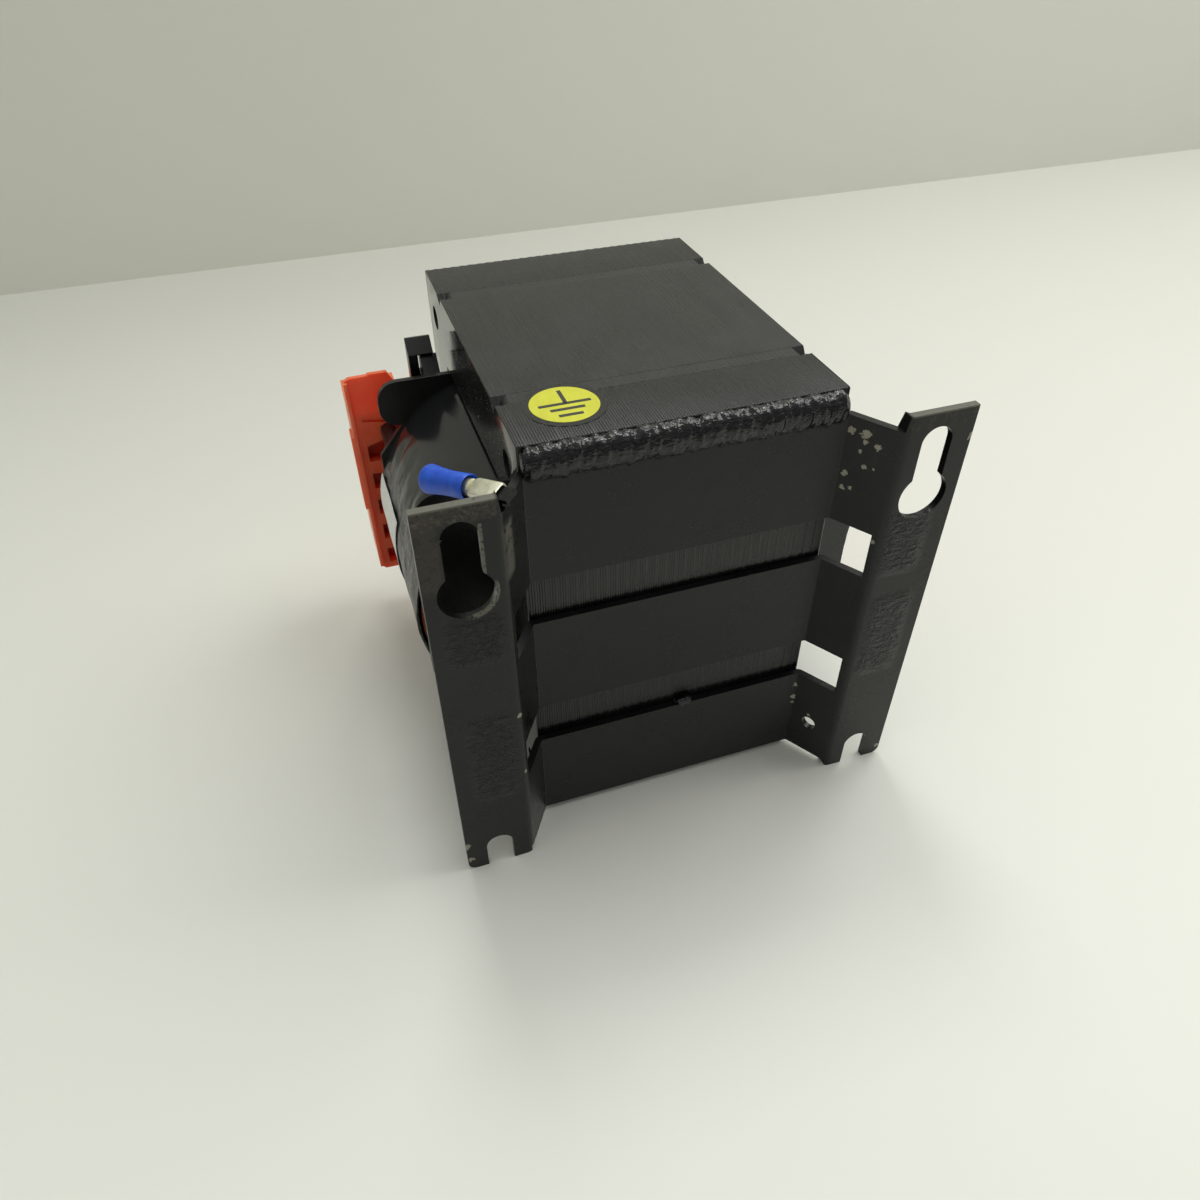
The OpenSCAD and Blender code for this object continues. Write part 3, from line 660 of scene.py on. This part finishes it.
def screwRow(side):
    s, shapes = screws, []
    for i in range(s["count"]):
        z, x, turn = s["low"] + i * s["pitch"], side * s["x"], 0.9 * i * i
        shapes.append(stub(x, z, s["head"], s["y"], s["y"] + s["height"] - s["slotDepth"]))
        shapes += [stub(x, z, s["head"], s["y"] + 0.4, s["y"] + s["height"], s["slot"],
            turn + half) for half in (0, math.pi)]
        shapes.append(stub(x, z, s["shank"], s["y"] - s["length"], s["y"] + 0.3))
    return joined(shapes)


for side, name in ((-1, "left"), (1, "right")):
    newPiece(name + "TerminalScrews", screwRow(side), "metal", ["terminal_screws_" + name])
print("terminals built")

connector = {"seat": (-34.7, 2.03, 45.18), "turn": 123.5, "dip": 12.7, "roll": -18.3, "start": 1.8, "end": 8.6,
    "width": 3.8, "height": 2.0,
    "barrel": 1.55, "sleeve": 2.25, "length": 10.0, "flare": 0.35}


# from the connector's own axes, which run along it, across it and up, to the part's
def placed(points):
    spin = Matrix.Rotation(math.radians(connector["turn"]), 3,
        "Z") @ Matrix.Rotation(math.radians(connector["dip"]), 3, "Y") \
        @ Matrix.Rotation(math.radians(connector["roll"]), 3, "X")
    return np.asarray(points) @ np.array(spin).T + np.array(connector["seat"])


# rings of a rounded box: each point's across and up are powers of the sine and cosine, so corners tighten as
# the power falls
def softBox(stations, power=0.42, steps=36):
    angle = np.linspace(0, 2 * np.pi, steps, endpoint=False)
    across, up = (np.sign(f) * np.abs(f) ** power for f in (np.cos(angle), np.sin(angle)))
    return np.array([np.stack([np.full(steps, u), across * w, up * h], 1) for u, w, h in stations])


def receptacle():
    c = connector
    w, h = c["width"] / 2, c["height"] / 2
    body = softBox([(c["end"], w * 0.62, h * 0.8), (c["end"] - 1.1, w * 0.97, h * 0.97), (c["end"] - 1.5, w, h),
        (c["start"] + 0.3, w, h),
        (c["start"], w * 0.94, h * 0.9), (c["start"] + 0.1, w * 0.84, h * 0.66),
        (c["start"] + 3.0, w * 0.8, h * 0.55)])
    barrel = softBox([(c["end"] - 0.5, c["barrel"], c["barrel"]), (c["end"] + 6.5, c["barrel"], c["barrel"])],
        power=1.0)
    shapes = [loft(body), loft(barrel)]
    return joined([(placed(points), faces) for points, faces in shapes])


# turned about the connector's axis: the radius follows a profile, out along the wall and back inside it
def sleeve():
    c = connector
    s, r, f = c["end"], c["sleeve"], c["flare"]
    profile = [(s + 0.9, 1.6), (s + 0.15, 1.95), (s, r - 0.12), (s + 0.2, r), (s + 2.0, r - 0.05),
        (s + 4.5, r - 0.1), (s + 6.5, r), (s + 8.2, r + 0.15),
        (s + c["length"] - 0.3, r + f), (s + c["length"], r + f - 0.12), (s + c["length"] - 0.1, r + f - 0.45),
        (s + 7.5, 1.6)]
    rings = softBox([(u, radius, radius) for u, radius in profile], power=1.0, steps=48)
    return placed(rings.reshape(-1, 3)), gridFaces(len(profile), 48, roundRows=True)


newPiece("earthReceptacle", receptacle(), "metal", ["earth_receptacle"], sharp=50)
newPiece("earthSleeve", sleeve(), "blue", ["earth_sleeve"], sharp=50)

sticker = {"x": -19.3, "y": 21.9, "film": 7.5, "disc": 6.25}


# a thin round or square-cornered plate lying on the core
def wafer(outline, low, high):
    outline = np.array(outline, float)
    rings = [np.concatenate([outline, np.full((len(outline), 1), z)], 1) for z in (low, high)]
    return loft(np.array(rings))


def disc(radius, low, high):
    turn = np.linspace(0, 2 * np.pi, 96, endpoint=False)
    return wafer(np.stack([sticker["x"] + radius * np.cos(turn), sticker["y"] + radius * np.sin(turn)], 1), low, high)


def bar(x, y, width, height, low, high):
    return wafer([(x - width / 2, y - height / 2), (x + width / 2, y - height / 2),
        (x + width / 2, y + height / 2), (x - width / 2, y + height / 2)], low, high)


newPiece("stickerFilm", disc(sticker["film"], 47.98, 48.03), "film")
newPiece("earthSticker", disc(sticker["disc"], 48.0, 48.07), "yellow")
signBars = [(-19.0, 24.6, 0.75, 4.6), (-19.2, 22.1, 9.6, 0.85), (-19.2, 20.2, 6.3, 0.85), (-19.2, 18.1, 4.4, 0.85)]
newPiece("earthSign", joined([bar(*b, 48.05, 48.085) for b in signBars]), "ink")
print("connector and sticker built")

for node, finish in {"primary_winding": "copper", "secondary_winding": "copper",
    "interlayer_insulation": "insulation", "earth_tab": "bracket"}.items():
    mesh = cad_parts[node].data
    mesh.materials.clear()
    mesh.materials.append(finishes[finish])

stage = {"floor": -0.048, "wall": 0.379, "reach": 3.0, "height": 0.5}


def paleStage(name, corners, colour, other):
    f = Finish(name)
    cloud = f.noise(180.0, 2.0)
    material = f.shade(Base_Color=f.mix(cloud, tint(*colour), tint(*other)), Roughness=0.42 + cloud * 0.1)
    mesh = bpy.data.meshes.new(name)
    mesh.from_pydata(corners, [], [(0, 1, 2, 3)])
    mesh.materials.append(material)
    plane = bpy.data.objects.new(name, mesh)
    scene.collection.objects.link(plane)


far, low, reach, high = stage["wall"], stage["floor"], stage["reach"], stage["height"]
paleStage("floor", [(-reach, -reach, low), (reach, -reach, low), (reach, reach, low), (-reach, reach, low)],
    (228, 229, 220), (224, 225, 216))
paleStage("wall", [(-reach, far, low), (reach, far, low), (reach, far, high), (-reach, far, high)],
    (236, 237, 226), (232, 233, 222))
print("stage built")

# millimetres; the three directions are the camera's own, in the part's axes
view = {"lens": 27.316, "sensor": 36.0, "nearest": 0.01, "place": (-58.7584, -114.5521, 126.3009),
    "right": (0.9466495, -0.3222198, -0.0053939), "down": (-0.2153912, -0.6201705, -0.7543176),
    "ahead": (0.2397110, 0.7152362, -0.6564875)}
camera = bpy.data.objects.new("camera", bpy.data.cameras.new("camera"))
camera.data.lens, camera.data.sensor_width = view["lens"], view["sensor"]
camera.data.clip_start = view["nearest"]
turned = Matrix([(view["right"][i], -view["down"][i], -view["ahead"][i]) for i in range(3)]).to_4x4()
camera.matrix_world = Matrix.Translation(Vector(view["place"]) * mm) @ turned
scene.collection.objects.link(camera)
scene.camera = camera

lamps = [  # name, place, what it points at, size, watts
    ("window", (0.55, 0.12, 0.75), (0.0, 0.04, 0.0), 0.6, 3.9),
    ("ceiling", (0.05, 0.55, 0.95), (0.0, 0.04, 0.0), 0.3, 3.0),
]
for name, place, target, size, power in lamps:
    light = bpy.data.lights.new(name, "AREA")
    light.shape, light.size, light.energy, light.color = "SQUARE", size, power, (1.0, 1.0, 0.98)
    lamp = bpy.data.objects.new(name, light)
    lamp.location = place
    lamp.rotation_euler = (Vector(target) - Vector(place)).to_track_quat("-Z", "Y").to_euler()
    scene.collection.objects.link(lamp)

# the room is brighter overhead than at the sides, and behind the part than before it
room = {"side": 0.34, "overhead": 0.7, "front": 0.5, "colour": (1.0, 1.0, 0.98, 1.0)}
world = bpy.data.worlds.new("room")
world.use_nodes = True
world.node_tree.nodes.clear()
air = Graph(world.node_tree)
back, height = (air.node("ShaderNodeSeparateXYZ", {}, [air.node("ShaderNodeTexCoord", output=0)],
    output=i) for i in (1, 2))
strength = (height.step(0.0, 0.85) * (room["overhead"] - room["side"]) + room["side"]) * (back * room["front"] + 1.0)
glow = air.node("ShaderNodeBackground", {}, {"Color": room["colour"], "Strength": strength})
air.tree.links.new(glow.socket, air.tree.nodes.new("ShaderNodeOutputWorld").inputs[0])
scene.world = world
scene.view_settings.view_transform = "Standard"

print("finishing")
